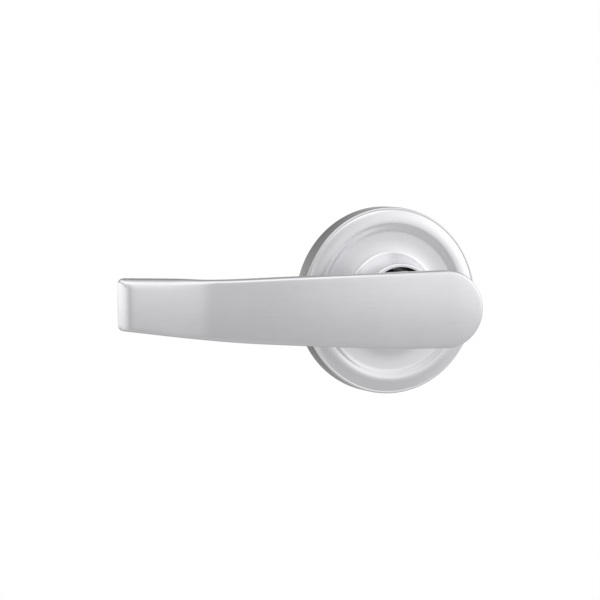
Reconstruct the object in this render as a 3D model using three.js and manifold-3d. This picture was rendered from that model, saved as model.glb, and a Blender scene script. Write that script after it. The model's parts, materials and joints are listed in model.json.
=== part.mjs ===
// Passage lever lockset in a 44.45 mm door. Millimetres, +Z up.
// The levers turn about the Y axis. y = 0 is the outside face of the door and y = DOOR is its
// inside face. The levers point to -X, towards the hinges, and the latch bolt leaves the door at +X.
// The outside trim is built once; the inside trim is its mirror image in the middle of the door.

import * as THREE from "three";
import { mergeVertices } from "three/addons/utils/BufferGeometryUtils.js";
import Module from "manifold-3d";

const wasm = await Module();
wasm.setup();

// ---- driving dimensions ----
const DOOR = 44.45; // door thickness
const MIDDLE = DOOR / 2; // the latch and the retractor lie on the door's middle plane
const BACKSET = 69.85; // lever axis to the edge of the door
const THROW = 12.7; // how far the latch bolt stands out
const GAP = 0.3; // between pieces that touch
const ROUND = 36; // segments of a full turn

const ROSE_R = 37.5;
const ROSE_WALL = 1.6;
const RIM_H = 8.6; // narrow step just inside the rim
const BEAD = { outer: 36, crest: 31.4, inner: 27.4, height: 9.8 };
const DISH_H = 8.6;
const FLARE_R = 19.6; // where the dish turns up to the neck
const NECK_R = 15.6;
const NECK_HOLE_R = 13.8;
const NECK_H = 19.2; // height of the neck above the door

const FACE_H = 63.5; // lever face above the door
const HUB_R = 14.6;
const SHANK_R = 12.5;
const ARM_THICK = 9;
const BEND_X = 91; // lever axis to the bend
const BEND_DROP = 12.5; // how far the arm falls towards the door by the bend
const BEND_SOFTNESS = 1.2; // rounding of the inside of the bend
const FALL_POWER = 2.8; // how late the fall steepens
const TIP_X = 124.2;
const TIP_CORNER_R = 2.2;
// The arm's edges above and below the axis, at distances from it.
const UPPER_EDGE = [[38, 13.75], [62, 13.05], [88, 12.15], [101, 12.75], [TIP_X, 13.4]];
const LOWER_EDGE = [[19, -14.15], [57, -12.2], [88, -10.05], [TIP_X, -5.3]];
const SPIGOT_R = 10.5;
const SPIGOT_END = -9; // depth of the spigot's end below the face of the door
const SHOULDER_H = 4.3; // where the shank steps down to the spigot
const GROOVE_R = 9.4; // for the retaining ring
const FLAT_Z = 9.3; // flats on the spigot, which turn the spring driver

const CUP_R = 26.2; // part of the mounting plate that enters the 54 mm cross bore
const CUP_DEPTH = 7;
const CUP_WALL = 1.5;
const PLATE_R = 35.2;
const PLATE_THICK = 2.2;
const BOLT_Z = 31.2; // through bolts above and below the lever axis
const LUG_ANGLE = Math.PI / 2; // the spring driver's lug points up at rest
const TURN = Math.PI / 4; // full turn of the lever
const STOP_OFFSET = 0.24; // from the middle of the lug to the middle of a stop it rests on
const ANCHOR_ANGLE = Math.PI / 9; // block that holds the return spring's fixed leg
const DRIVER = { r: 16.5, low: 2, high: 4, lugWide: 5, lugR: 23.6 };
const RETURN_SPRING = { radius: 19.2, wire: 1.7, length: 5.6, turns: 2.25, leg: 4 };

const SQUARE = 8; // spindle
const SQUARE_HOLE = 8.6;
const BORE_END = 30; // how far the square holes reach into the levers
const HOUSING_R = 25.2;
const HOUSING_WALL = 1.3;
const HOUSING_Y = CUP_DEPTH + GAP;
const END_THICK = 1.6;
const RING_HOLE_R = 13.2; // holes in the ends of the housing, round the retaining rings
const CAM_Y = 10.2;
const CAM_THICK = 4;
const CAM_REACH = 16.2; // centre of a cam arm's round end
const CAM_END_R = 2;
const CAM_HUB_R = 9;
const PIN_Y = -12; // cross pin that holds the outside lever on the spindle
const PIN_HOLE_R = 1.8;
const SCREW_Y = -26; // set screw of the inside lever
const RETRACTOR_THICK = 7.4;
const WING = { rear: -5, front: -2.5, inner: 9.6, outer: 15 };
const SPRING_Z = 10.5; // retractor springs above and below the axis

const FACEPLATE = { wide: 28.6, tall: 57.15, thick: 2.4, corner: 6.35 };
const FACEPLATE_SCREW_Z = 20.6;
const CASE_R = 11.7;
const CASE_WALL = 1.5;
const CASE_X = 27; // rear end of the latch case
const BOLT = { rear: 52, wide: 12, tall: 16, bevel: 11.5 };
const TAIL = { thick: 2.4, tall: 5.2, head: 21.9, headHalf: 6.2, front: 59.5, pin: 56 };

// ---- materials ----
const finish = (color, roughness, metalness) => () =>
  new THREE.MeshStandardMaterial({ color, roughness, metalness });
const SATIN = finish(0xc8c8ca, 0.35, 1);
const ZINC = finish(0xb4b2a6, 0.5, 1);
const STEEL = finish(0x9a9b9c, 0.4, 1);
const SPRING = finish(0x6e6f73, 0.35, 1);
const BRASS = finish(0xb99a55, 0.35, 1);
const NYLON = finish(0xe6e2d6, 0.6, 0);

// ---- solids ----
function solid(geometry) {
  const bare = geometry.clone();
  for (const name of ["normal", "uv"]) bare.deleteAttribute(name);
  const merged = mergeVertices(bare, 1e-3);
  return new wasm.Manifold(
    new wasm.Mesh({
      numProp: 3,
      vertProperties: merged.getAttribute("position").array,
      triVerts: new Uint32Array(merged.index.array),
    }),
  );
}

function geometryOf(body) {
  const mesh = body.getMesh();
  const geometry = new THREE.BufferGeometry();
  geometry.setAttribute("position", new THREE.BufferAttribute(mesh.vertProperties, 3));
  geometry.setIndex(new THREE.BufferAttribute(mesh.triVerts, 1));
  const flat = geometry.toNonIndexed();
  flat.computeVertexNormals();
  return flat;
}

const join = (first, ...more) =>
  geometryOf(more.reduce((body, piece) => body.add(solid(piece)), solid(first)));
const cut = (first, ...tools) =>
  geometryOf(tools.reduce((body, tool) => body.subtract(solid(tool)), solid(first)));
const common = (first, second) => geometryOf(solid(first).intersect(solid(second)));

// A box from its lowest to its highest corner.
function box(low, high) {
  const [x, y, z] = low.map((value, i) => (value + high[i]) / 2);
  return new THREE.BoxGeometry(...high.map((value, i) => value - low[i])).translate(x, y, z);
}

// Points of a closed outline, given as [radius, height above the door], turned about the lever axis.
function turned(outline, segments = ROUND) {
  const ring = outline.map(([r, h]) => new THREE.Vector2(r, -h));
  ring.push(ring[0].clone());
  if (THREE.ShapeUtils.area(ring) < 0) ring.reverse();
  return new THREE.LatheGeometry(ring, segments);
}

const washer = (inner, outer, low, high) =>
  turned([[inner, low], [outer, low], [outer, high], [inner, high]]);

// A shape drawn in X and Z, as a plate from one Y to another.
function plateY(shape, fromY, toY) {
  const geometry = new THREE.ExtrudeGeometry(shape, {
    depth: toY - fromY,
    bevelEnabled: false,
    curveSegments: 5,
  });
  return geometry.rotateX(Math.PI / 2).translate(0, toY, 0);
}

// A shape drawn in Y and Z, as a plate from one X to another.
function plateX(shape, fromX, toX) {
  const geometry = new THREE.ExtrudeGeometry(shape, {
    depth: toX - fromX,
    bevelEnabled: false,
    curveSegments: 6,
  });
  const turn = new THREE.Matrix4().makeBasis(
    new THREE.Vector3(0, 1, 0),
    new THREE.Vector3(0, 0, 1),
    new THREE.Vector3(1, 0, 0),
  );
  return geometry.applyMatrix4(turn).translate(fromX, 0, 0);
}

function polygon(points) {
  return new THREE.Shape(points.map(([x, y]) => new THREE.Vector2(x, y)));
}

function roundedRectangle(wide, tall, corner) {
  const [x, y] = [wide / 2, tall / 2];
  const shape = new THREE.Shape();
  shape.moveTo(-x + corner, -y);
  shape.absarc(x - corner, -y + corner, corner, -Math.PI / 2, 0, false);
  shape.absarc(x - corner, y - corner, corner, 0, Math.PI / 2, false);
  shape.absarc(-x + corner, y - corner, corner, Math.PI / 2, Math.PI, false);
  shape.absarc(-x + corner, -y + corner, corner, Math.PI, Math.PI * 1.5, false);
  return shape;
}

// Rods, or cones where the two radii differ, along each axis.
const coneY = (rLow, rHigh, fromY, toY, segments = 16) =>
  new THREE.CylinderGeometry(rHigh, rLow, toY - fromY, segments).translate(0, (fromY + toY) / 2, 0);
const rodX = (rLow, rHigh, fromX, toX, segments = 16) =>
  coneY(rLow, rHigh, fromX, toX, segments).rotateZ(-Math.PI / 2);
const rodZ = (r, fromZ, toZ, segments = 16) =>
  coneY(r, r, fromZ, toZ, segments).rotateX(Math.PI / 2);

// ---- springs ----
class CoilPath extends THREE.Curve {
  constructor(radius, length, turns, start = 0, leg = 0) {
    super();
    Object.assign(this, { radius, length, turns, start, leg });
  }
  // Along Y, with a straight leg that runs out radially at each end where leg is above 0.
  getPoint(t, target = new THREE.Vector3()) {
    const coil = Math.PI * 2 * this.radius * this.turns;
    const along = t * (coil + 2 * this.leg) - this.leg;
    const inside = Math.min(Math.max(along, 0), coil);
    const angle = this.start + (inside / coil) * this.turns * Math.PI * 2;
    const r = this.radius + Math.abs(along - inside);
    return target.set(r * Math.cos(angle), (inside / coil) * this.length, r * Math.sin(angle));
  }
}

function coil({ radius, wire, length, turns, start = 0, leg = 0, stepsPerTurn = 10, sides = 5 }) {
  const rim = new THREE.EllipseCurve(0, 0, wire / 2, wire / 2).getPoints(sides).slice(0, sides);
  return new THREE.ExtrudeGeometry(new THREE.Shape(rim), {
    steps: Math.ceil(turns * stepsPerTurn),
    bevelEnabled: false,
    extrudePath: new CoilPath(radius, length - wire, turns, start, leg),
  }).translate(0, wire / 2, 0);
}

// ---- rose ----
// Stepped cover: upright rim, raised bead, sunk dish, and a neck that flares up round the shank.
function rose() {
  const face = new THREE.Path();
  face.moveTo(ROSE_R, 0);
  face.lineTo(ROSE_R - 0.15, RIM_H - 1);
  face.quadraticCurveTo(ROSE_R - 0.2, RIM_H, ROSE_R - 0.7, RIM_H);
  face.lineTo(BEAD.outer, RIM_H + 0.1);
  face.quadraticCurveTo(BEAD.outer - 2, BEAD.height, BEAD.crest, BEAD.height);
  const slope = (BEAD.crest + BEAD.inner) / 2;
  face.quadraticCurveTo(slope + 1, BEAD.height, slope, (BEAD.height + DISH_H) / 2);
  face.quadraticCurveTo(slope - 1, DISH_H, BEAD.inner, DISH_H);
  face.lineTo(FLARE_R, DISH_H + 0.25);
  face.quadraticCurveTo(FLARE_R - 0.7, DISH_H + 0.5, FLARE_R - 1.1, DISH_H + 1.6);
  face.lineTo(NECK_R, NECK_H - 0.9);
  face.quadraticCurveTo(NECK_R - 0.3, NECK_H, NECK_HOLE_R, NECK_H - 0.05);
  const back = new THREE.Path();
  back.moveTo(NECK_HOLE_R, NECK_H - 2.5);
  back.quadraticCurveTo(NECK_HOLE_R + 1.8, NECK_H / 2, FLARE_R - 2.2, DISH_H - 1.2);
  back.lineTo(BEAD.inner, DISH_H - 2);
  back.lineTo(slope, DISH_H - 0.6);
  back.lineTo(BEAD.crest + 1, BEAD.height - 1.8);
  back.lineTo(ROSE_R - ROSE_WALL, RIM_H - 1.9);
  back.lineTo(ROSE_R - ROSE_WALL, 0);
  const outline = [...face.getPoints(3), ...back.getPoints(2)].map(({ x, y }) => [x, y]);
  return turned(outline);
}

// ---- lever ----
// Height of the lever's face above the door, at a distance from the axis along the arm. It falls
// ever more steeply to the bend and runs level from there, with the corner between them rounded.
function faceHeight(distance) {
  const falling = FACE_H - BEND_DROP * (Math.max(distance, 0) / BEND_X) ** FALL_POWER;
  const level = FACE_H - BEND_DROP;
  return (falling + level + Math.hypot(falling - level, BEND_SOFTNESS)) / 2;
}

// The lever seen from the front, as a block as deep as the lever stands out.
function leverFront() {
  const edge = (points) => points.map(([distance, z]) => new THREE.Vector2(-distance, z));
  const front = new THREE.Shape();
  front.moveTo(0, HUB_R);
  front.absarc(0, 0, HUB_R, Math.PI / 2, -Math.PI / 2, true);
  const lower = edge(LOWER_EDGE);
  const lowCorner = lower.pop();
  lower.push(new THREE.Vector2(-TIP_X + TIP_CORNER_R, lowCorner.y - 0.2));
  front.splineThru(lower);
  front.quadraticCurveTo(-TIP_X, lowCorner.y, -TIP_X, lowCorner.y + TIP_CORNER_R);
  const upper = edge(UPPER_EDGE);
  const highCorner = upper.pop();
  front.lineTo(-TIP_X, highCorner.y - TIP_CORNER_R);
  front.quadraticCurveTo(-TIP_X, highCorner.y, -TIP_X + TIP_CORNER_R, highCorner.y);
  front.splineThru([...upper.reverse(), new THREE.Vector2(0, HUB_R)]);
  return plateY(front, -FACE_H - 1, 0);
}

function leverArm() {
  const stations = 20;
  const face = [];
  for (let i = 0; i <= stations; i++) {
    const distance = -HUB_R - 1 + (i / stations) * (TIP_X + HUB_R + 2);
    face.push([-distance, -faceHeight(distance)]);
  }
  const back = face.map(([x, y]) => [x, y + ARM_THICK]).reverse();
  const plan = new THREE.ExtrudeGeometry(polygon([...face, ...back]), {
    depth: 4 * HUB_R,
    bevelEnabled: false,
  }).translate(0, 0, -2 * HUB_R);
  return common(leverFront(), plan);
}

function lever(hole) {
  const flare = new THREE.QuadraticBezierCurve(
    new THREE.Vector2(HUB_R - 0.4, FACE_H - ARM_THICK),
    new THREE.Vector2(SHANK_R, FACE_H - ARM_THICK - 2),
    new THREE.Vector2(SHANK_R, FACE_H - ARM_THICK - 12),
  );
  const groove = { low: -CUP_DEPTH - 1.5, high: -CUP_DEPTH - 0.1 };
  const shank = turned([
    [0, FACE_H - 2],
    [HUB_R - 0.4, FACE_H - 2],
    ...flare.getPoints(5).map(({ x, y }) => [x, y]),
    [SHANK_R, SHOULDER_H],
    [SPIGOT_R, SHOULDER_H],
    [SPIGOT_R, groove.high],
    [GROOVE_R, groove.high],
    [GROOVE_R, groove.low],
    [SPIGOT_R, groove.low],
    [SPIGOT_R, SPIGOT_END],
    [0, SPIGOT_END],
  ]);
  const half = SQUARE_HOLE / 2;
  const bore = box([-half, -BORE_END, -half], [half, -SPIGOT_END + 1, half]);
  const flats = [0, Math.PI].map((turn) =>
    box([-SPIGOT_R, -SHOULDER_H - 0.01, FLAT_Z], [SPIGOT_R, -1.4, SPIGOT_R + 1]).rotateY(turn),
  );
  return cut(join(leverArm(), shank), bore, ...flats, hole);
}

// ---- trim behind the rose ----
// A small block at a radius and an angle about the lever axis, with the angle counted from +X up.
function blockAt(angle, rLow, rHigh, width, low, high) {
  return box([rLow, -high, -width / 2], [rHigh, -low, width / 2]).rotateY(-angle);
}

function mountingPlate(boltHoleR) {
  const floor = -CUP_DEPTH;
  const body = turned([
    [SPIGOT_R + 2.1, floor],
    [CUP_R, floor],
    [CUP_R, 0],
    [PLATE_R, 0],
    [PLATE_R, PLATE_THICK],
    [CUP_R - CUP_WALL, PLATE_THICK],
    [CUP_R - CUP_WALL, floor + END_THICK],
    [SPIGOT_R + 2.1, floor + END_THICK],
  ]);
  const angles = [LUG_ANGLE - STOP_OFFSET, LUG_ANGLE + TURN + STOP_OFFSET, ANCHOR_ANGLE];
  const stops = angles.map((angle) =>
    blockAt(angle, CUP_R - CUP_WALL - 3.4, CUP_R - 0.5, 4, floor + 1, PLATE_THICK - 0.4),
  );
  const holes = [-1, 1].map((side) => coneY(boltHoleR, boltHoleR, -5, 5).translate(0, 0, side * BOLT_Z));
  return cut(join(body, ...stops), ...holes);
}

function springDriver() {
  const { r: diskR, low, high, lugWide, lugR } = DRIVER;
  const disk = washer(1, diskR, low, high);
  const lug = blockAt(LUG_ANGLE, diskR - 2.5, lugR, lugWide, low, high);
  const tab = blockAt(LUG_ANGLE, lugR - 2, lugR, lugWide, -0.6, low + 0.5);
  const hole = new THREE.Shape();
  const r = SPIGOT_R + GAP;
  const open = Math.asin((FLAT_Z + GAP) / r);
  hole.absarc(0, 0, r, -open, open, false);
  hole.absarc(0, 0, r, Math.PI - open, Math.PI + open, false);
  return cut(join(disk, lug, tab), plateY(hole, -6, 0));
}

function bushing() {
  const top = -CUP_DEPTH + END_THICK + GAP;
  return turned([
    [SPIGOT_R + GAP, -CUP_DEPTH],
    [SPIGOT_R + 1.8, -CUP_DEPTH],
    [SPIGOT_R + 1.8, top],
    [SPIGOT_R + 4, top],
    [SPIGOT_R + 4, top + 1.2],
    [SPIGOT_R + 1.8, top + 1.2],
    [SPIGOT_R + 1.8, 0.6],
    [SPIGOT_R + GAP, 0.6],
  ]);
}

// Its free leg rests on the spring driver's tab.
function returnSpring() {
  const start = -LUG_ANGLE - 0.2;
  return coil({ ...RETURN_SPRING, start, stepsPerTurn: 18, sides: 6 }).translate(0, -1.2, 0);
}

// A ring with a gap at the bottom, which springs into the groove of the lever's spigot.
function retainingRing() {
  const ring = washer(9.8, 12.4, -CUP_DEPTH - 1.3, -CUP_DEPTH - GAP);
  return cut(ring, box([-3, 0, -20], [3, 20, 0]));
}

// ---- fixings ----
function sleeve() {
  return turned([[2.6, -20], [3.7, -20], [3.7, -GAP], [2.9, -GAP], [2.9, 2.1], [2.6, 2.1]], 16);
}

function throughBolt() {
  const seat = DOOR + PLATE_THICK + GAP;
  const body = join(
    coneY(2.2, 2.2, 6, seat + 1),
    turned([[0, -seat], [4, -seat], [4, -seat - 1.4], [3, -seat - 2.2], [0, -seat - 2.2]], 16),
  );
  const slots = [box([-2.4, seat + 1, -0.4], [2.4, seat + 3, 0.4])];
  slots.push(slots[0].clone().rotateY(Math.PI / 2));
  return cut(body, ...slots);
}

// ---- chassis ----
function housing() {
  const inner = HOUSING_R - HOUSING_WALL;
  const shell = turned([
    [RING_HOLE_R, -HOUSING_Y],
    [HOUSING_R, -HOUSING_Y],
    [HOUSING_R, -DOOR + HOUSING_Y],
    [inner, -DOOR + HOUSING_Y],
    [inner, -HOUSING_Y - END_THICK],
    [RING_HOLE_R, -HOUSING_Y - END_THICK],
  ]);
  return cut(shell, box([13, MIDDLE - 7.5, -12], [30, MIDDLE + 7.5, 12]));
}

function housingCap() {
  const outer = HOUSING_R - HOUSING_WALL - GAP;
  return washer(RING_HOLE_R, outer, -DOOR + HOUSING_Y, -DOOR + HOUSING_Y + END_THICK);
}

function spindle() {
  const half = SQUARE / 2;
  const reach = BORE_END - 2;
  const bar = box([-half, -reach, -half], [half, DOOR + reach, half]);
  return cut(bar, rodZ(PIN_HOLE_R, -SQUARE, SQUARE).translate(0, PIN_Y, 0));
}

// Square hub hole and two opposite arms, the upper of which pushes the retractor.
function rollbackCam(fromY) {
  const body = join(
    coneY(CAM_HUB_R, CAM_HUB_R, fromY, fromY + CAM_THICK, 24),
    box([-CAM_END_R, fromY, -CAM_REACH], [CAM_END_R, fromY + CAM_THICK, CAM_REACH]),
    ...[-1, 1].map((side) =>
      coneY(CAM_END_R, CAM_END_R, fromY, fromY + CAM_THICK).translate(0, 0, side * CAM_REACH),
    ),
  );
  const half = SQUARE / 2 + GAP;
  return cut(body, box([-half, 0, -half], [half, DOOR, half]));
}

// Sliding frame round the spindle. Its wings meet the cam arms, its jaws hold the head of the
// latch tail, and two blind holes in its rear take the springs.
function retractor() {
  const upper = [[-9.4, 8], [-5, 13.4], [16.5, 13.4], [21.6, 8.5], [21.6, 7.6], [25.6, 7.6]];
  upper.push([25.6, 3.2], [23.9, 3.2], [23.9, 6.5], [21.6, 6.5]);
  const lower = upper.map(([x, z]) => [x, -z]).reverse();
  const low = MIDDLE - RETRACTOR_THICK / 2;
  const high = MIDDLE + RETRACTOR_THICK / 2;
  const frame = plateY(polygon([...upper, ...lower]), low, high);
  const ends = HOUSING_Y + END_THICK + 0.5;
  const wings = [0, Math.PI].map((turn) =>
    box([WING.rear, ends, WING.inner], [WING.front, DOOR - ends, WING.outer])
      .translate(0, -MIDDLE, 0)
      .rotateX(turn)
      .translate(0, MIDDLE, 0),
  );
  const window = box([-7.4, low - 1, -7.6], [20.1, high + 1, 7.6]);
  const pockets = [-1, 1].map((side) => rodX(2.3, 2.3, -12, 10).translate(0, MIDDLE, side * SPRING_Z));
  return cut(join(frame, ...wings), window, ...pockets);
}

function retractorSpring() {
  return coil({ radius: 1.6, wire: 0.7, length: 29.6, turns: 10, stepsPerTurn: 8, sides: 4 })
    .rotateZ(-Math.PI / 2)
    .translate(-20, MIDDLE, 0);
}

// ---- latch ----
function latchCase() {
  const front = BACKSET - FACEPLATE.thick - GAP;
  const tube = rodX(CASE_R, CASE_R, CASE_X, front, ROUND);
  const inner = CASE_R - CASE_WALL;
  const hollow = rodX(inner, inner, CASE_X + CASE_WALL, front + 1, ROUND);
  const slot = box([CASE_X - 1, -1.8, -3.1], [CASE_X + 3, 1.8, 3.1]);
  return cut(tube, hollow, slot).translate(0, MIDDLE, 0);
}

function faceplate() {
  const { wide, tall, thick, corner } = FACEPLATE;
  const back = BACKSET - thick;
  const plate = plateX(roundedRectangle(wide, tall, corner), back, BACKSET);
  const opening = box(
    [back - 1, -BOLT.wide / 2 - 0.35, -BOLT.tall / 2 - 0.35],
    [BACKSET + 1, BOLT.wide / 2 + 0.35, BOLT.tall / 2 + 0.35],
  );
  const holes = [-1, 1].flatMap((side) => [
    rodX(2.3, 2.3, back - 1, BACKSET + 1).translate(0, 0, side * FACEPLATE_SCREW_Z),
    rodX(2.1, 4.5, back + 0.2, BACKSET + 0.05).translate(0, 0, side * FACEPLATE_SCREW_Z),
  ]);
  return cut(plate, opening, ...holes).translate(0, MIDDLE, 0);
}

function faceplateScrew() {
  const head = BACKSET - 0.1;
  const body = join(
    rodX(1.8, 4.1, head - 2.1, head),
    rodX(1.8, 1.8, head - 18, head - 1),
    rodX(0.3, 1.8, head - 21, head - 18),
  );
  const slots = [-1, 1].map((turn) =>
    box([head - 1.3, -2.2, -0.4], [head + 1, 2.2, 0.4]).rotateX((turn * Math.PI) / 4),
  );
  return cut(body, ...slots).translate(0, MIDDLE, 0);
}

// Drawn in X and Y: bevelled on the side that meets the strike when the door closes.
function latchBolt() {
  const tip = BACKSET + THROW;
  const half = BOLT.wide / 2;
  const outline = new THREE.Shape();
  outline.moveTo(BOLT.rear, -half);
  outline.lineTo(tip - BOLT.bevel, -half);
  outline.quadraticCurveTo(tip - 3, -half + 3, tip, half - 1.8);
  outline.lineTo(tip, half);
  outline.lineTo(BOLT.rear, half);
  const body = new THREE.ExtrudeGeometry(outline, { depth: BOLT.tall, bevelEnabled: false });
  body.translate(0, 0, -BOLT.tall / 2);
  const slot = box([BOLT.rear - 1, -1.5, -2.9], [TAIL.front + GAP, 1.5, 2.9]);
  const pinHole = coneY(1.3, 1.3, -BOLT.wide, BOLT.wide).translate(TAIL.pin, 0, 0);
  return cut(body, slot, pinHole).translate(0, MIDDLE, 0);
}

function latchTail() {
  const { thick, tall, head: rear, front } = TAIL;
  const bar = box([rear, -thick / 2, -tall / 2], [front, thick / 2, tall / 2]);
  const head = box([rear, -thick / 2, -TAIL.headHalf], [rear + 1.7, thick / 2, TAIL.headHalf]);
  const pinHole = coneY(1.3, 1.3, -BOLT.wide, BOLT.wide).translate(TAIL.pin, 0, 0);
  return cut(join(bar, head), pinHole).translate(0, MIDDLE, 0);
}

function latchPin() {
  const half = BOLT.wide / 2 - GAP;
  return coneY(1, 1, MIDDLE - half, MIDDLE + half, 16).translate(TAIL.pin, 0, 0);
}

function latchSpring() {
  const from = CASE_X + CASE_WALL + GAP;
  return coil({ radius: 5.6, wire: 1.2, length: BOLT.rear - GAP - from, turns: 7, stepsPerTurn: 9 })
    .rotateZ(-Math.PI / 2)
    .translate(from, MIDDLE, 0);
}

// ---- assembly ----
const lockset = new THREE.Group();

function add(group, name, geometry, material, z = 0) {
  const mesh = new THREE.Mesh(geometry, material());
  mesh.name = name;
  mesh.position.z = z;
  group.add(mesh);
}

function trim(side, leverHole, boltHoleR) {
  const group = new THREE.Group();
  add(group, `${side}_lever`, lever(leverHole), SATIN);
  add(group, `${side}_rose`, rose(), SATIN);
  add(group, `${side}_mounting_plate`, mountingPlate(boltHoleR), ZINC);
  add(group, `${side}_bushing`, bushing(), NYLON);
  add(group, `${side}_spring_driver`, springDriver(), STEEL);
  add(group, `${side}_return_spring`, returnSpring(), SPRING);
  add(group, `${side}_retaining_ring`, retainingRing(), SPRING);
  lockset.add(group);
  return group;
}

const pinHole = rodZ(PIN_HOLE_R, -SHANK_R - 1, SHANK_R + 1).translate(0, PIN_Y, 0);
const screwHole = rodZ(2.4, -SHANK_R - 1, 0).translate(0, SCREW_Y, 0);
const outside = trim("outside", pinHole, 3.2);
const inside = trim("inside", screwHole, 2.6);
inside.position.y = DOOR;
inside.scale.y = -1;

const pin = rodZ(PIN_HOLE_R - GAP, -SHANK_R + 1.5, SHANK_R - 1.5);
add(outside, "outside_lever_pin", pin.translate(0, PIN_Y, 0), STEEL);
const grub = cut(rodZ(2.1, -11.6, -SQUARE / 2 - GAP), rodZ(1.1, -13, -8.6, 6));
add(inside, "inside_set_screw", grub.translate(0, SCREW_Y, 0), STEEL);

for (const [place, side] of [["upper", 1], ["lower", -1]]) {
  add(lockset, `sleeve_${place}`, sleeve(), STEEL, side * BOLT_Z);
  add(lockset, `through_bolt_${place}`, throughBolt(), STEEL, side * BOLT_Z);
  add(lockset, `retractor_spring_${place}`, retractorSpring(), SPRING, side * SPRING_Z);
  add(lockset, `faceplate_screw_${place}`, faceplateScrew(), SATIN, side * FACEPLATE_SCREW_Z);
}

add(lockset, "chassis_housing", housing(), ZINC);
add(lockset, "chassis_cap", housingCap(), ZINC);
add(lockset, "spindle", spindle(), STEEL);
add(lockset, "outside_rollback_cam", rollbackCam(CAM_Y), STEEL);
add(lockset, "inside_rollback_cam", rollbackCam(DOOR - CAM_Y - CAM_THICK), STEEL);
const spacerEnd = CAM_Y + CAM_THICK + GAP;
add(lockset, "spindle_spacer", washer(6, 7.1, -spacerEnd, -DOOR + spacerEnd), STEEL);
add(lockset, "retractor", retractor(), ZINC);
add(lockset, "latch_case", latchCase(), ZINC);
add(lockset, "latch_faceplate", faceplate(), SATIN);
add(lockset, "latch_bolt", latchBolt(), BRASS);
add(lockset, "latch_tail", latchTail(), STEEL);
add(lockset, "latch_tail_pin", latchPin(), STEEL);
add(lockset, "latch_bolt_spring", latchSpring(), SPRING);

export default lockset;
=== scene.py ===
"""Passage lever lockset: fine meshes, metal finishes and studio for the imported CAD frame.

Metres, in the frame of the CAD part: +Z up, the levers turn about Y, y = 0 is the outside face of
the door, the outside lever faces -Y and points to -X, and the latch bolt leaves the door at +X.
"""

import json
import math

import bmesh
import bpy
from mathutils import Matrix, Vector

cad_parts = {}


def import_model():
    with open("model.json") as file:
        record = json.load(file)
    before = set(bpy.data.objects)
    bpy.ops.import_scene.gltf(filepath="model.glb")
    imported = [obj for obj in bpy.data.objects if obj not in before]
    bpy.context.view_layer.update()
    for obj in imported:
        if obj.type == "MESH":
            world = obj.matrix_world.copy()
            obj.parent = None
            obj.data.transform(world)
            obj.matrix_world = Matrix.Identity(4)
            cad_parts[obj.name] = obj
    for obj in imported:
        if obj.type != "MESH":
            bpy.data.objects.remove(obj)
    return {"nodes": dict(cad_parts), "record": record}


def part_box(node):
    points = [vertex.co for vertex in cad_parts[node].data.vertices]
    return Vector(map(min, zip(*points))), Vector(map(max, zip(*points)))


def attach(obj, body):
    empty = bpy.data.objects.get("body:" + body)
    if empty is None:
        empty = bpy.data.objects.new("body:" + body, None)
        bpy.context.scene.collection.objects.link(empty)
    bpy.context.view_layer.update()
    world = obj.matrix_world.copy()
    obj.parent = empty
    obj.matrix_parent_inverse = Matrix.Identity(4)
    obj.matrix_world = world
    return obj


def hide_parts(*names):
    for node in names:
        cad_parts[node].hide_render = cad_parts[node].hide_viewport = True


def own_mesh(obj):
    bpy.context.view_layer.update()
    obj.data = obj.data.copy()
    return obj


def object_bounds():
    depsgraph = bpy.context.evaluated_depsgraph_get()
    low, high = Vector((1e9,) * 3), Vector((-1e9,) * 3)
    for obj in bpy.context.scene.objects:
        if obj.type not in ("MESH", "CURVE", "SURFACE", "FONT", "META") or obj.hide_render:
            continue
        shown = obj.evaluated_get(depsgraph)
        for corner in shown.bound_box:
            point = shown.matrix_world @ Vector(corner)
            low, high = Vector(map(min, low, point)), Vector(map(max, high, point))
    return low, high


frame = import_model()
cad_low, cad_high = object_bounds()

MM = 0.001

# ---- sizes read from the frame ----
rose_low, rose_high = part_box("outside_rose")
lever_low, lever_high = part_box("outside_lever")
inside_rose_low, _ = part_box("inside_rose")
DOOR = inside_rose_low.y
ROSE_R = rose_high.x
NECK_H = -rose_low.y
TIP_X = -lever_low.x
HUB_R = lever_high.x

# ---- sizes of the finer shapes, as in the CAD part ----
FACE_H = 63.5 * MM
NECK_HOLE_R = 13.8 * MM
SHANK_R = 12.5 * MM
SPIGOT_R = 10.5 * MM
SPIGOT_END = 9 * MM
SHOULDER_H = 4.3 * MM
SQUARE_HOLE = 8.6 * MM
ARM_THICK = 9 * MM
BEND_X = 91 * MM
BEND_DROP = 12.5 * MM
BEND_SOFTNESS = 1.2 * MM
FALL_POWER = 2.8

# ---- fineness of the meshes ----
SAME_POINT = 0.002 * MM  # points nearer than this are one point
SLIVER = 0.004 * MM  # faces thinner than this are dropped
TINY = 0.01 * MM  # left between two edge radii that nearly meet
EDGE_BREAK = 0.25 * MM  # width of the broken edges of plain pieces

# ---- the photograph's viewing angle, and a camera (lens in mm) that frames the part alike ----
VIEW_AZIMUTH = math.radians(-21.1)
VIEW_ELEVATION = math.radians(3.85)
VIEW_DISTANCE = 0.8
LENS = 118.9
SENSOR_WIDTH = 36
AIM_LEFT = 33.2 * MM
AIM_DOWN = 0.3 * MM

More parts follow.
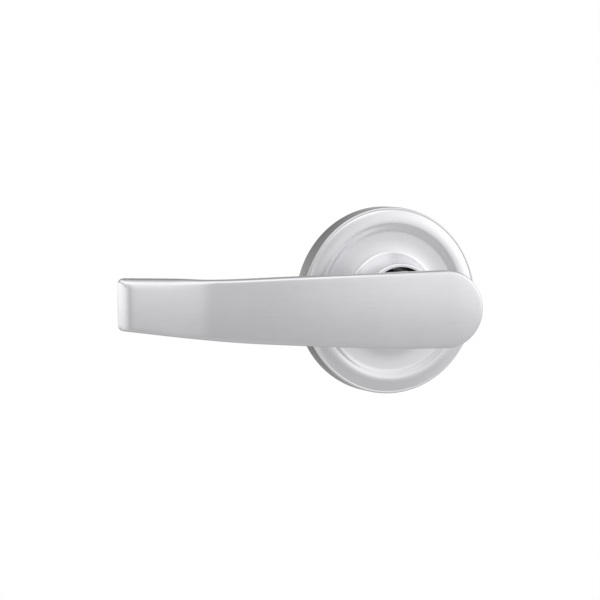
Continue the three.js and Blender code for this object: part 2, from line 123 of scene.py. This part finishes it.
# ---- light ----
# Brightness of the room by direction, as (height of the direction, colour).
FRONT_LIGHT = (
    (-1.0, (0.58, 0.58, 0.585)),
    (-0.45, (0.58, 0.58, 0.585)),
    (-0.25, (0.55, 0.55, 0.555)),
    (-0.07, (0.86, 0.86, 0.868)),
    (0.15, (1.13, 1.13, 1.135)),
    (0.5, (1.13, 1.13, 1.13)),
    (0.74, (1.02, 1.02, 1.02)),
    (1.0, (0.8, 0.8, 0.8)),
)
REAR_LIGHT = (
    (-1.0, (0.50, 0.50, 0.50)),
    (-0.2, (0.52, 0.515, 0.51)),
    (0.25, (0.66, 0.655, 0.65)),
    (0.55, (0.20, 0.20, 0.20)),
    (1.0, (0.55, 0.55, 0.55)),
)
# Two dim zones, in front and behind: azimuth, elevation, reach, and colour at the middle.
FRONT_ZONE = (math.radians(-16), math.radians(16), math.radians(55), (0.55, 0.55, 0.55))
REAR_ZONE = (math.radians(-168), math.radians(-6), math.radians(54), (0.2, 0.195, 0.17))
# The room is brighter low on the left and on the right than high on the left.
LEFT_LOW_LIGHT = 1.5
LEFT_HIGH_LIGHT = 0.62
RIGHT_LIGHT = 1.25
# Along y, z and x of a direction, where one light passes into the next.
FRONT_TO_REAR = (0.0, 0.4)
LEFT_LOW_TO_HIGH = (0.1, 0.4)
MIDDLE_TO_LEFT = (-0.35, -0.75)
MIDDLE_TO_RIGHT = (0.45, 0.9)
# A weak, wide lamp above and in front.
LAMP_PLACE = (-0.2, -0.5, 1.3)
LAMP_SIZE = (1.4, 0.9)
LAMP_POWER = 2

# ---- the staged white floor and card ----
FLOOR_DROP = 1.2
FLOOR_SIZE = 3
CARD_HALF_WIDTH = 240 * MM
CARD_HALF_HEIGHT = 100 * MM
CARD_HOLE_R = ROSE_R - 0.1 * MM
CARD_Y = -0.2 * MM


# ---------------------------------------------------------------- helpers
def quadratic(start, control, end, steps):
    """Points of a quadratic curve after its start."""
    points = []
    for i in range(1, steps + 1):
        t = i / steps
        before, middle, after = (1 - t) ** 2, 2 * t * (1 - t), t * t
        points.append(
            tuple(before * a + middle * b + after * c for a, b, c in zip(start, control, end))
        )
    return points


def shade_smooth(mesh, angle):
    """Smooth shading, but sharp where faces meet at more than the angle, in degrees."""
    for polygon in mesh.polygons:
        polygon.use_smooth = True
    mesh.set_sharp_from_angle(angle=math.radians(angle))


def linked(name, data):
    """A new object in the scene."""
    obj = bpy.data.objects.new(name, data)
    bpy.context.scene.collection.objects.link(obj)
    return obj


def mesh_object(name, bm, smooth_angle=35):
    bmesh.ops.recalc_face_normals(bm, faces=bm.faces)
    mesh = bpy.data.meshes.new(name)
    bm.to_mesh(mesh)
    bm.free()
    shade_smooth(mesh, smooth_angle)
    return linked(name, mesh)


def lathe(outline, segments=192):
    """A bmesh turned about Y from a closed outline of (radius, y)."""
    bm = bmesh.new()
    rings = []
    for i in range(segments):
        angle = 2 * math.pi * i / segments
        c, s = math.cos(angle), math.sin(angle)
        rings.append([bm.verts.new((r * c, y, r * s)) for r, y in outline])
    for i, ring in enumerate(rings):
        after = rings[(i + 1) % segments]
        for j in range(len(outline)):
            k = (j + 1) % len(outline)
            bm.faces.new((ring[j], ring[k], after[k], after[j]))
    bmesh.ops.remove_doubles(bm, verts=bm.verts, dist=SAME_POINT / 2)
    return bm


def apply_modifiers(obj):
    bpy.context.view_layer.update()
    depsgraph = bpy.context.evaluated_depsgraph_get()
    mesh = bpy.data.meshes.new_from_object(obj.evaluated_get(depsgraph))
    obj.modifiers.clear()
    old = obj.data
    obj.data = mesh
    bpy.data.meshes.remove(old)


def without_slivers(obj):
    """Drops faces that are points or lines to within a few microns."""
    bm = bmesh.new()
    bm.from_mesh(obj.data)
    bmesh.ops.remove_doubles(bm, verts=bm.verts, dist=SLIVER)
    bmesh.ops.dissolve_degenerate(bm, dist=SLIVER, edges=bm.edges)
    many_sided = [face for face in bm.faces if len(face.verts) > 4]
    bmesh.ops.triangulate(bm, faces=many_sided, quad_method="BEAUTY", ngon_method="BEAUTY")
    bmesh.ops.dissolve_degenerate(bm, dist=SLIVER, edges=bm.edges)
    bm.to_mesh(obj.data)
    bm.free()


def carve(obj, tool, operation):
    """Joins or cuts with another closed mesh, which is used up."""
    modifier = obj.modifiers.new("carve", "BOOLEAN")
    modifier.operation = operation
    modifier.solver = "EXACT"
    modifier.object = tool
    apply_modifiers(obj)
    bpy.data.objects.remove(tool)


def box_object(low, high):
    bm = bmesh.new()
    bmesh.ops.create_cube(bm, size=1)
    for vert in bm.verts:
        vert.co = Vector(c * (b - a) + (a + b) / 2 for c, a, b in zip(vert.co, low, high))
    return mesh_object("tool", bm)


# ---------------------------------------------------------------- materials
ACROSS_BRUSH = 9000.0  # noise scale across the brush lines, per metre
COARSE_LINES = 0.12  # the same for the coarse lines, as a share of it
METRES_PER_RADIAN = 0.003  # turns an angle into a length, where the brush lines are circles
CLOUDS = 110.0  # noise scale of the cloudy colour, per metre
UNEVEN_ROUGHNESS = 0.01
BRUSH_HEIGHT = 0.02 * MM
CIRCULAR_ANISOTROPY = 0.35


class Nodes:
    """Short calls for building one material's node tree."""

    def __init__(self, name, metallic, roughness, color):
        self.material = bpy.data.materials.new(name)
        self.material.use_nodes = True
        self.tree = self.material.node_tree
        self.shader = self.tree.nodes["Principled BSDF"]
        self.shader.inputs["Metallic"].default_value = metallic
        self.shader.inputs["Roughness"].default_value = roughness
        self.shader.inputs["Base Color"].default_value = (*color, 1)
        self.position = self.add("ShaderNodeTexCoord").outputs["Object"]

    def add(self, kind, **values):
        node = self.tree.nodes.new(kind)
        for key, value in values.items():
            setattr(node, key, value)
        return node

    def link(self, source, target):
        self.tree.links.new(source, target)

    def math(self, operation, first, second=0.0):
        node = self.add("ShaderNodeMath", operation=operation)
        for socket, value in zip(node.inputs, (first, second)):
            if isinstance(value, (int, float)):
                socket.default_value = value
            else:
                self.link(value, socket)
        return node.outputs[0]

    def stretched(self, vector, scale):
        node = self.add("ShaderNodeMapping")
        node.inputs["Scale"].default_value = scale
        self.link(vector, node.inputs["Vector"])
        return node.outputs[0]

    def noise(self, vector, scale, detail=4.0, roughness=0.6):
        node = self.add("ShaderNodeTexNoise")
        node.inputs["Scale"].default_value = scale
        node.inputs["Detail"].default_value = detail
        node.inputs["Roughness"].default_value = roughness
        self.link(vector, node.inputs["Vector"])
        return node.outputs["Fac"]

    def spread(self, factor, low, high):
        """Maps the middle of a noise to a range of values."""
        node = self.add("ShaderNodeMapRange")
        values = {"From Min": 0.3, "From Max": 0.7, "To Min": low, "To Max": high}
        for name, value in values.items():
            node.inputs[name].default_value = value
        self.link(factor, node.inputs["Value"])
        return node.outputs[0]

    def tint(self, factor, dark, light):
        node = self.add("ShaderNodeMix", data_type="RGBA")
        node.inputs["A"].default_value = (*dark, 1)
        node.inputs["B"].default_value = (*light, 1)
        self.link(factor, node.inputs["Factor"])
        self.link(node.outputs["Result"], self.shader.inputs["Base Color"])

    def rough(self, value):
        self.link(value, self.shader.inputs["Roughness"])

    def bump(self, height, strength, distance):
        node = self.add("ShaderNodeBump")
        node.inputs["Strength"].default_value = strength
        node.inputs["Distance"].default_value = distance
        self.link(height, node.inputs["Height"])
        self.link(node.outputs[0], self.shader.inputs["Normal"])

    def round_the_axis(self):
        """Coordinates that follow circles about the levers' axis: radius, height and angle."""
        parts = self.add("ShaderNodeSeparateXYZ")
        self.link(self.position, parts.inputs[0])
        x, y, z = parts.outputs
        squares = self.math("ADD", self.math("MULTIPLY", x, x), self.math("MULTIPLY", z, z))
        angle = self.math("MULTIPLY", self.math("ARCTAN2", z, x), METRES_PER_RADIAN)
        joined = self.add("ShaderNodeCombineXYZ")
        for source, target in zip((self.math("SQRT", squares), y, angle), joined.inputs):
            self.link(source, target)
        return joined.outputs[0]


def satin_chrome(name, scales, light, depth, roughness, tangent_axis=None):
    """Satin chrome plate, darker by depth in its brush lines and clouds. The brush lines' noise has
    one scale for each axis, low along the lines. With a tangent axis the lines are circles."""
    nodes = Nodes(name, 1.0, roughness, (light, light, light))
    lines_from = nodes.round_the_axis() if tangent_axis else nodes.position
    fine = nodes.noise(nodes.stretched(lines_from, scales), 1.0, 4.0, 0.7)
    wider = tuple(COARSE_LINES * scale if scale == ACROSS_BRUSH else scale for scale in scales)
    coarse = nodes.noise(nodes.stretched(lines_from, wider), 1.0, 3.0)
    clouds = nodes.noise(nodes.position, CLOUDS, 2.0)
    shade = nodes.math("ADD", nodes.spread(coarse, 0, 0.6), nodes.spread(clouds, 0, 0.4))
    dark = light - depth
    nodes.tint(shade, (dark, dark, dark + 0.02), (light, light, light + 0.018))
    nodes.rough(nodes.spread(clouds, roughness - UNEVEN_ROUGHNESS, roughness + UNEVEN_ROUGHNESS))
    nodes.bump(nodes.math("ADD", fine, coarse), 0.1 + 3 * depth, BRUSH_HEIGHT)
    if tangent_axis:
        nodes.shader.inputs["Anisotropic"].default_value = CIRCULAR_ANISOTROPY
        tangent = nodes.add("ShaderNodeTangent", direction_type="RADIAL", axis=tangent_axis)
        nodes.link(tangent.outputs[0], nodes.shader.inputs["Tangent"])
    return nodes.material


def plated(name, dark, light, roughness, metallic=1.0, grain=900.0, height=0.03 * MM):
    """Plated, cast or drawn metal, or plastic, with fine grain and cloudy colour."""
    nodes = Nodes(name, metallic, roughness, light)
    clouds = nodes.noise(nodes.position, 90.0, 4.0)
    grains = nodes.noise(nodes.position, grain, 3.0)
    nodes.tint(nodes.spread(clouds, 0, 1), dark, light)
    nodes.rough(nodes.spread(grains, roughness - 0.06, roughness + 0.08))
    nodes.bump(grains, 0.3, height)
    return nodes.material


def build_materials():
    """The finish of each material slot in the record. The plain ones run from dark to light."""
    straight = (60.0, ACROSS_BRUSH, ACROSS_BRUSH)
    circular = (ACROSS_BRUSH, ACROSS_BRUSH, 150.0)
    cast_dark, cast_light = (0.36, 0.36, 0.37), (0.50, 0.50, 0.51)
    nylon_dark, nylon_light = (0.74, 0.72, 0.65), (0.86, 0.84, 0.78)
    finishes = {
        "satin_chrome": (satin_chrome, straight, 0.80, 0.04, 0.32),
        "satin_chrome_rose": (satin_chrome, circular, 0.82, 0.03, 0.27, "Y"),
        "zinc_plate": (plated, (0.60, 0.58, 0.50), (0.74, 0.73, 0.69), 0.34),
        "cast_zinc": (plated, cast_dark, cast_light, 0.5, 1.0, 2500.0, 0.08 * MM),
        "steel": (plated, (0.44, 0.44, 0.45), (0.58, 0.58, 0.59), 0.32, 1.0, 3000.0),
        "spring_steel": (plated, (0.16, 0.16, 0.17), (0.30, 0.30, 0.32), 0.28),
        "black_steel": (plated, (0.012, 0.012, 0.013), (0.03, 0.03, 0.032), 0.38, 0.6),
        "nylon": (plated, nylon_dark, nylon_light, 0.5, 0.0, 1500.0),
    }
    return {name: finish(name, *values) for name, (finish, *values) in finishes.items()}


materials = build_materials()
behaviour = frame["record"]["behaviour"]
slot_of = {part["node"]: part["material_slot"] for part in frame["record"]["subparts"]}
body_of = {node: body for body, nodes in behaviour["bodies"].items() for node in nodes}
replaced = set()


def stand_for(obj, node):
    """The fine mesh takes the node's place, body, slot and finish."""
    obj.name = f"{node}_fine"
    obj.data.materials.clear()
    obj.data.materials.append(materials[slot_of[node]])
    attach(obj, body_of[node])
    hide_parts(node)
    replaced.add(node)
    return obj


def mirrored_inside(obj):
    """A copy turned over the door's middle plane, for the inside trim."""
    mesh = obj.data.copy()
    mesh.transform(Matrix.Translation((0, DOOR, 0)) @ Matrix.Diagonal((1, -1, 1, 1)))
    mesh.flip_normals()
    return linked(obj.name, mesh)


# ---------------------------------------------------------------- rose
def rose():
    """Upright rim, small flat, raised bead, sunk dish, and a neck that flares round the shank."""
    rim, neck, hole = ROSE_R / MM, NECK_H / MM, NECK_HOLE_R / MM
    # the rim's wall, its rounded edge and the small flat
    mm = [(rim, 0), (rim - 0.05, 0.2), (rim - 0.15, 7.7)]
    mm += quadratic(mm[-1], (37.3, 8.6), (36.8, 8.6), 8)
    mm += quadratic(mm[-1], (36.45, 8.6), (36.35, 8.5), 3)
    mm += quadratic(mm[-1], (36.2, 8.5), (36.0, 8.7), 4)
    # the bead and its fall into the dish
    mm += quadratic(mm[-1], (34.0, 9.8), (31.4, 9.8), 16)
    mm += quadratic(mm[-1], (30.4, 9.8), (29.4, 9.25), 12)
    mm += quadratic(mm[-1], (28.4, 8.7), (27.4, 8.65), 12)
    # the dish, the flared neck and its lip
    mm += [(24.5, 8.6)]
    mm += quadratic(mm[-1], (21.5, 8.6), (19.9, 8.95), 10)
    mm += quadratic(mm[-1], (18.9, 9.2), (18.4, 10.4), 12)
    mm += quadratic(mm[-1], (16.6, 14.6), (15.6, 18.2), 12)
    mm += quadratic(mm[-1], (15.3, neck - 0.05), (14.7, neck), 6)
    mm += [(hole + 0.5, neck)]
    mm += quadratic(mm[-1], (hole + 0.05, neck - 0.05), (hole, 18.5), 5)
    # the hollow side
    mm += [(hole, 16.7)]
    mm += quadratic(mm[-1], (15.6, 10.4), (17.4, 7.4), 8)
    mm += [(20.6, 6.7), (27.2, 6.6), (29.6, 8.0), (32.5, 8.1), (rim - 1.6, 6.4), (rim - 1.6, 0)]
    outline = [(r * MM, -h * MM) for r, h in mm]
    return mesh_object("rose", lathe(outline), 25)


# ---------------------------------------------------------------- lever
def face_height(distance):
    """Height of the lever's face above the door, as in the CAD part."""
    falling = FACE_H - BEND_DROP * (max(distance, 0) / BEND_X) ** FALL_POWER
    level = FACE_H - BEND_DROP
    return (falling + level + math.hypot(falling - level, BEND_SOFTNESS)) / 2


def smooth_through(points, at):
    """A smooth curve through a few (distance, value) points, evaluated at a distance."""
    for i in range(len(points) - 1):
        if at <= points[i + 1][0] or i == len(points) - 2:
            break
    before = points[max(i - 1, 0)]
    after = points[min(i + 2, len(points) - 1)]
    (x0, y0), (x1, y1) = points[i], points[i + 1]
    span = x1 - x0
    t = min(max((at - x0) / span, 0), 1)
    slope0 = (y1 - before[1]) / (x1 - before[0])
    slope1 = (after[1] - y0) / (after[0] - x0)
    return (
        (2 * t**3 - 3 * t**2 + 1) * y0
        + (t**3 - 2 * t**2 + t) * span * slope0
        + (-2 * t**3 + 3 * t**2) * y1
        + (t**3 - t**2) * span * slope1
    )


# The arm's edges, as (distance from the axis, height) in mm.
UPPER_EDGE = [(0, 14.6), (38, 13.75), (62, 13.05), (88, 12.15), (101, 12.75), (TIP_X / MM, 13.4)]
LOWER_EDGE = [(0, -14.6), (19, -14.15), (57, -12.2), (88, -10.05), (TIP_X / MM, -5.3)]
CROWN = 0.95 * MM
FRONT_EDGE_R = 1.4 * MM
BACK_EDGE_R = 2.5 * MM
# Towards the tip the upper front edge grows rounder.
TIP_EDGE_R = 3.4 * MM
TIP_EDGE_FROM = 88 * MM
TIP_EDGE_RUN = 16 * MM
# At the tip the face falls, the back rises to meet it, and the outline's corners are rounded.
TIP_ROUND = 4.9 * MM
TIP_ENTRY = 1.6
TIP_SLOPE = 0.36
TIP_CURVE = 0.15
TIP_FALL = TIP_ROUND * (TIP_SLOPE + TIP_CURVE)
TIP_EDGE_LEFT = 0.3 * MM
TIP_UNDERCUT = 3.4 * MM
TIP_CORNER_R = 2.2 * MM
# How many points or sections make up the mesh. Closer ones take the place of the last spaces.
ACROSS_STEPS = 20
CORNER_STEPS = 8
HUB_SECTIONS = 36
ARM_SPACES = 120
LAST_SPACES = 5
TIP_SECTIONS = 20
TIP_SECTIONS_FROM = 5.1 * MM


def drop(depth, radius):
    """How far a rounded edge lies below its face, at a depth in from the edge."""
    inside = min(max(depth, 0), radius)
    return radius - math.sqrt(max(radius**2 - (radius - inside) ** 2, 0))


def tip_drop(depth):
    """How far the face falls towards the tip, in a soft slant that steepens."""
    t = max(1 - depth / TIP_ROUND, 0)
    slant = t**2 / (t + TIP_ENTRY) * (1 + TIP_ENTRY)
    return TIP_ROUND * (TIP_SLOPE * slant + TIP_CURVE * t**2)


def section(low, high, front, back, tip_depth):
    """Points (z, y) of one cross-section, a crowned rectangle with round corners."""
    tip_front = tip_drop(tip_depth)
    tip_back = (ARM_THICK - TIP_FALL - TIP_EDGE_LEFT) * max(1 - tip_depth / TIP_UNDERCUT, 0)
    front, back = front - tip_front, back + tip_back
    rounder = min(max((TIP_X - tip_depth - TIP_EDGE_FROM) / TIP_EDGE_RUN, 0), 1)
    widest = min(front - back, high - low) / 2 - TINY
    upper_r = min(FRONT_EDGE_R + (TIP_EDGE_R - FRONT_EDGE_R) * rounder, widest)
    front_r = min(FRONT_EDGE_R, widest)
    back_r = min(BACK_EDGE_R, widest)
    points = []

    def corner(z, y, radius, start):
        for i in range(CORNER_STEPS + 1):
            angle = start + (math.pi / 2) * i / CORNER_STEPS
            points.append((z + radius * math.cos(angle), y + radius * math.sin(angle)))

    def straight(start, end, y):
        for i in range(1, ACROSS_STEPS):
            points.append((start + (end - start) * i / ACROSS_STEPS, y))

    corner(high - upper_r, front - upper_r, upper_r, 0)
    straight(high - upper_r, low + front_r, front)
    corner(low + front_r, front - front_r, front_r, math.pi / 2)
    corner(low + back_r, back + back_r, back_r, math.pi)
    straight(low + back_r, high - back_r, back)
    corner(high - back_r, back + back_r, back_r, math.pi * 1.5)
    middle, half = (high + low) / 2, (high - low) / 2
    crown = CROWN * (half / HUB_R) ** 2

    def crowned(z, y):
        return z, y - crown * ((z - middle) / half) ** 2 * (y - back) / (front - back)

    return [crowned(z, y) for z, y in points]


def lever_arm():
    """Sections fanned round the hub's end, then along the arm, closer together at its tip."""
    bm = bmesh.new()
    rings = []
    hub = section(-HUB_R, HUB_R, face_height(0), face_height(0) - ARM_THICK, TIP_X)
    for i in range(HUB_SECTIONS, 0, -1):
        angle = (math.pi / 2) * i / HUB_SECTIONS
        rings.append([(abs(z) * math.sin(angle), -h, z * math.cos(angle)) for z, h in hub])
    along = [TIP_X * i / ARM_SPACES for i in range(ARM_SPACES - LAST_SPACES)]
    for i in range(1, TIP_SECTIONS + 1):
        along.append(TIP_X - TIP_SECTIONS_FROM * (1 - i / TIP_SECTIONS) ** 2)
    for distance in along:
        tip = TIP_X - distance
        narrow = drop(tip, TIP_CORNER_R)
        low = smooth_through(LOWER_EDGE, distance / MM) * MM + narrow
        high = smooth_through(UPPER_EDGE, distance / MM) * MM - narrow
        front = face_height(distance)
        outline = section(low, high, front, front - ARM_THICK, tip)
        rings.append([(-distance, -h, z) for z, h in outline])
    rows = [[bm.verts.new(point) for point in ring] for ring in rings]
    count = len(hub)
    for row, after in zip(rows, rows[1:]):
        for j in range(count):
            k = (j + 1) % count
            bm.faces.new((row[j], row[k], after[k], after[j]))
    bm.faces.new(rows[-1])
    bmesh.ops.remove_doubles(bm, verts=bm.verts, dist=SAME_POINT)
    bmesh.ops.dissolve_degenerate(bm, dist=SAME_POINT / 2, edges=bm.edges)
    return mesh_object("arm", bm, 40)


def shank():
    """Flared under the hub, then straight to a shoulder, and a spigot with a ring groove."""
    under, wide = (FACE_H - ARM_THICK) / MM, HUB_R / MM - 1.2
    shaft, shoulder = SHANK_R / MM, SHOULDER_H / MM
    spigot, end = SPIGOT_R / MM, -SPIGOT_END / MM
    mm = [(0, under + 4), (wide, under + 4), (wide, under + 0.6)]
    mm += quadratic(mm[-1], (shaft, under - 1.5), (shaft, under - 12), 16)
    mm += [(shaft, shoulder + 0.3), (shaft - 0.3, shoulder), (spigot, shoulder)]
    mm += [(spigot, end + 1.9), (9.4, end + 1.9), (9.4, end + 0.5), (spigot, end + 0.5)]
    mm += [(spigot - 0.3, end), (0, end)]
    return mesh_object("shank", lathe([(r * MM, -h * MM) for r, h in mm], 96))


def lever():
    """The arm and its shank in one piece, with the spindle's square hole."""
    arm = lever_arm()
    carve(arm, shank(), "UNION")
    half = SQUARE_HOLE / 2
    hole = box_object((-half, -30 * MM, -half), (half, SPIGOT_END + MM, half))
    carve(arm, hole, "DIFFERENCE")
    without_slivers(arm)
    shade_smooth(arm.data, 35)
    return arm


# ---------------------------------------------------------------- springs
def spring(node, start, axis, sign, radius, wire, length, turns, first_angle=0.0, leg=0.0):
    """A coil of round wire that leaves its start along X or Y. Each end may have a straight leg."""
    rise = length - wire
    last_angle = first_angle + turns * 2 * math.pi
    steps = int(turns * 28)
    coil = []
    for i in range(steps + 1):
        coil.append((radius, first_angle + turns * 2 * math.pi * i / steps, rise * i / steps))
    if leg:
        coil = [(radius + leg, first_angle, 0.0), *coil, (radius + leg, last_angle, rise)]
    curve = bpy.data.curves.new(node, "CURVE")
    curve.dimensions = "3D"
    curve.bevel_depth = wire / 2
    curve.bevel_resolution = 4
    curve.use_fill_caps = True
    spline = curve.splines.new("POLY")
    spline.points.add(len(coil) - 1)
    for target, (r, angle, height) in zip(spline.points, coil):
        u, v, w = r * math.cos(angle), r * math.sin(angle), sign * (wire / 2 + height)
        place = (w, u, v) if axis == "X" else (u, w, v)
        target.co = (*(Vector(start) + Vector(place)), 1)
    shape = linked(node, curve)
    bpy.context.view_layer.update()
    depsgraph = bpy.context.evaluated_depsgraph_get()
    mesh = bpy.data.meshes.new_from_object(shape.evaluated_get(depsgraph))
    bpy.data.objects.remove(shape)
    for polygon in mesh.polygons:
        polygon.use_smooth = True
    return stand_for(linked(node, mesh), node)


def return_spring(node, sign):
    """The torsion spring behind a rose. Its legs stand out below."""
    low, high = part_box(node)
    start = (0, low.y if sign > 0 else high.y, 0)
    size = {"radius": 19.2 * MM, "wire": 1.7 * MM, "length": high.y - low.y, "turns": 2.25}
    spring(node, start, "Y", sign, **size, first_angle=-math.pi / 2 - 0.2, leg=4 * MM)


def compression_spring(node, joint, z, **size):
    """A coil along X, midway through the door. The joint argument is not used."""
    low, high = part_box(node)
    length = high.x - low.x
    coil = spring(node, (low.x, DOOR / 2, z), "X", 1, length=length, **size)
    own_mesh(coil)


def build_springs():
    return_spring("outside_return_spring", 1)
    return_spring("inside_return_spring", -1)
    small = {"radius": 1.6 * MM, "wire": 0.7 * MM, "turns": 10}
    for node in ("retractor_spring_upper", "retractor_spring_lower"):
        low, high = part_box(node)
        compression_spring(node, "retractor_travel", (low.z + high.z) / 2, **small)
    large = {"radius": 5.6 * MM, "wire": 1.2 * MM, "turns": 7}
    compression_spring("latch_bolt_spring", "latch_bolt_travel", 0, **large)


# ---------------------------------------------------------------- pieces kept from the CAD part
def refined(node):
    """A copy of a CAD piece with broken edges and smooth round walls."""
    bm = bmesh.new()
    bm.from_mesh(frame["nodes"][node].data)
    bmesh.ops.remove_doubles(bm, verts=bm.verts, dist=SAME_POINT)
    same_plane = math.radians(1)
    bmesh.ops.dissolve_limit(bm, angle_limit=same_plane, verts=bm.verts, edges=bm.edges)
    obj = mesh_object(node, bm, 30)
    modifier = obj.modifiers.new("edges", "BEVEL")
    modifier.width = EDGE_BREAK
    modifier.segments = 2
    modifier.limit_method = "ANGLE"
    modifier.angle_limit = math.radians(40)
    modifier.harden_normals = True
    apply_modifiers(obj)
    without_slivers(obj)
    return stand_for(obj, node)


# ---------------------------------------------------------------- studio
def white_backdrop(obj):
    """Plain white to look at, with no part in the lighting."""
    material = bpy.data.materials.new(obj.name + "_white")
    material.use_nodes = True
    tree = material.node_tree
    tree.nodes.clear()
    white = tree.nodes.new("ShaderNodeEmission")
    output = tree.nodes.new("ShaderNodeOutputMaterial")
    tree.links.new(white.outputs[0], output.inputs[0])
    obj.data.materials.append(material)
    obj.visible_diffuse = False
    obj.visible_glossy = False
    obj.visible_shadow = False


def card():
    """A white card in the plane of the door's face. As the door does, it hides the half behind it.
    The edge of its hole is inside the wall of the rose's rim."""
    bm = bmesh.new()
    rings = []
    segments = 96
    for i in range(segments):
        angle = 2 * math.pi * i / segments
        c, s = math.cos(angle), math.sin(angle)
        reach = 1 / max(abs(c), abs(s))
        outer = (c * reach * CARD_HALF_WIDTH, CARD_Y, s * reach * CARD_HALF_HEIGHT)
        inner = (c * CARD_HOLE_R, CARD_Y, s * CARD_HOLE_R)
        rings.append((bm.verts.new(outer), bm.verts.new(inner)))
    for i, (outer, inner) in enumerate(rings):
        next_outer, next_inner = rings[(i + 1) % segments]
        bm.faces.new((outer, inner, next_inner, next_outer))
    mesh = bpy.data.meshes.new("card")
    bm.to_mesh(mesh)
    bm.free()
    white_backdrop(linked("card", mesh))


def floor():
    """Plain white, and low enough that it doesn't hide the part from a camera below."""
    bm = bmesh.new()
    bmesh.ops.create_grid(bm, x_segments=1, y_segments=1, size=FLOOR_SIZE)
    obj = mesh_object("floor", bm)
    obj.location.z = cad_low.z - FLOOR_DROP
    white_backdrop(obj)


def unit_direction(azimuth, elevation):
    """From the object towards a camera or a light. Azimuth 0 is in front of the outside lever."""
    level = math.cos(elevation)
    return Vector((math.sin(azimuth) * level, -math.cos(azimuth) * level, math.sin(elevation)))


def top_light():
    """Aimed at the middle of the rose."""
    light = bpy.data.lights.new("top", "AREA")
    light.shape = "RECTANGLE"
    light.size, light.size_y = LAMP_SIZE
    light.energy = LAMP_POWER
    obj = linked("top", light)
    obj.location = LAMP_PLACE
    obj.rotation_euler = (-obj.location).to_track_quat("-Z", "Y").to_euler()


def world():
    """A soft white room, dim below and behind the door. The camera sees it as plain white."""
    sky = bpy.data.worlds.new("studio")
    bpy.context.scene.world = sky
    sky.use_nodes = True
    tree = sky.node_tree

    def add(kind):
        return tree.nodes.new(kind)

    def feed(source, socket):
        """Gives a socket another node's output, a number or a colour."""
        if isinstance(source, bpy.types.NodeSocket):
            tree.links.new(source, socket)
        else:
            socket.default_value = (*source, 1) if isinstance(source, tuple) else source

    parts = add("ShaderNodeSeparateXYZ")
    direction = add("ShaderNodeTexCoord").outputs["Generated"]
    tree.links.new(direction, parts.inputs[0])
    x, y, z = parts.outputs

    def ranged(value, over, low, high, interpolation="SMOOTHSTEP"):
        """Runs from low to high while the value runs over a pair of limits."""
        node = add("ShaderNodeMapRange")
        node.interpolation_type = interpolation
        node.inputs["From Min"].default_value, node.inputs["From Max"].default_value = over
        for name, source in (("Value", value), ("To Min", low), ("To Max", high)):
            feed(source, node.inputs[name])
        return node.outputs[0]

    def by_height(stops):
        ramp = add("ShaderNodeValToRGB")
        tree.links.new(ranged(z, (-1, 1), 0, 1, "LINEAR"), ramp.inputs[0])
        elements = ramp.color_ramp.elements
        while len(elements) < len(stops):
            elements.new(0.5)
        for element, (height, shade) in zip(elements, stops):
            element.position = (height + 1) / 2
            element.color = (*shade, 1)
        return ramp.outputs[0]

    def mix(factor, first, second, blend="MIX"):
        node = add("ShaderNodeMix")
        node.data_type = "RGBA"
        node.blend_type = blend
        node.clamp_result = False
        for name, source in (("Factor", factor), ("A", first), ("B", second)):
            feed(source, node.inputs[name])
        return node.outputs["Result"]

    front = by_height(FRONT_LIGHT)
    rear = by_height(REAR_LIGHT)
    room = mix(ranged(y, FRONT_TO_REAR, 0, 1), front, rear)
    left = ranged(z, LEFT_LOW_TO_HIGH, LEFT_LOW_LIGHT, LEFT_HIGH_LIGHT)
    room = mix(1.0, room, ranged(x, MIDDLE_TO_LEFT, 1, left), "MULTIPLY")
    room = mix(1.0, room, ranged(x, MIDDLE_TO_RIGHT, 1, RIGHT_LIGHT), "MULTIPLY")
    for azimuth, elevation, reach, middle in (FRONT_ZONE, REAR_ZONE):
        toward = add("ShaderNodeVectorMath")
        toward.operation = "DOT_PRODUCT"
        toward.inputs[1].default_value = unit_direction(azimuth, elevation)
        tree.links.new(direction, toward.inputs[0])
        nearness = ranged(toward.outputs["Value"], (math.cos(reach), 1), 0, 1, "LINEAR")
        squared = add("ShaderNodeMath")
        squared.operation = "POWER"
        squared.inputs[1].default_value = 2
        tree.links.new(nearness, squared.inputs[0])
        room = mix(1.0, room, mix(squared.outputs[0], (1, 1, 1), middle), "MULTIPLY")
    seen = add("ShaderNodeLightPath").outputs["Is Camera Ray"]
    tree.links.new(mix(seen, room, (1, 1, 1)), tree.nodes["Background"].inputs["Color"])


def camera():
    back = unit_direction(VIEW_AZIMUTH, VIEW_ELEVATION)
    right = Vector((math.cos(VIEW_AZIMUTH), math.sin(VIEW_AZIMUTH), 0))
    up = back.cross(right)
    data = bpy.data.cameras.new("camera")
    data.lens = LENS
    data.sensor_width = SENSOR_WIDTH
    obj = linked("camera", data)
    obj.matrix_world = Matrix((right, up, back)).transposed().to_4x4()
    obj.location = back * VIEW_DISTANCE - right * AIM_LEFT - up * AIM_DOWN
    bpy.context.scene.camera = obj


# ---------------------------------------------------------------- assembly
camera()
world()
card()
floor()
top_light()

outside_rose = rose()
inside_rose = mirrored_inside(outside_rose)
stand_for(outside_rose, "outside_rose")
stand_for(inside_rose, "inside_rose")

outside_lever = lever()
inside_lever = mirrored_inside(outside_lever)
stand_for(outside_lever, "outside_lever")
stand_for(inside_lever, "inside_lever")

build_springs()
for node in sorted(frame["nodes"]):
    if node not in replaced:
        refined(node)

bpy.context.scene.view_settings.view_transform = "Standard"
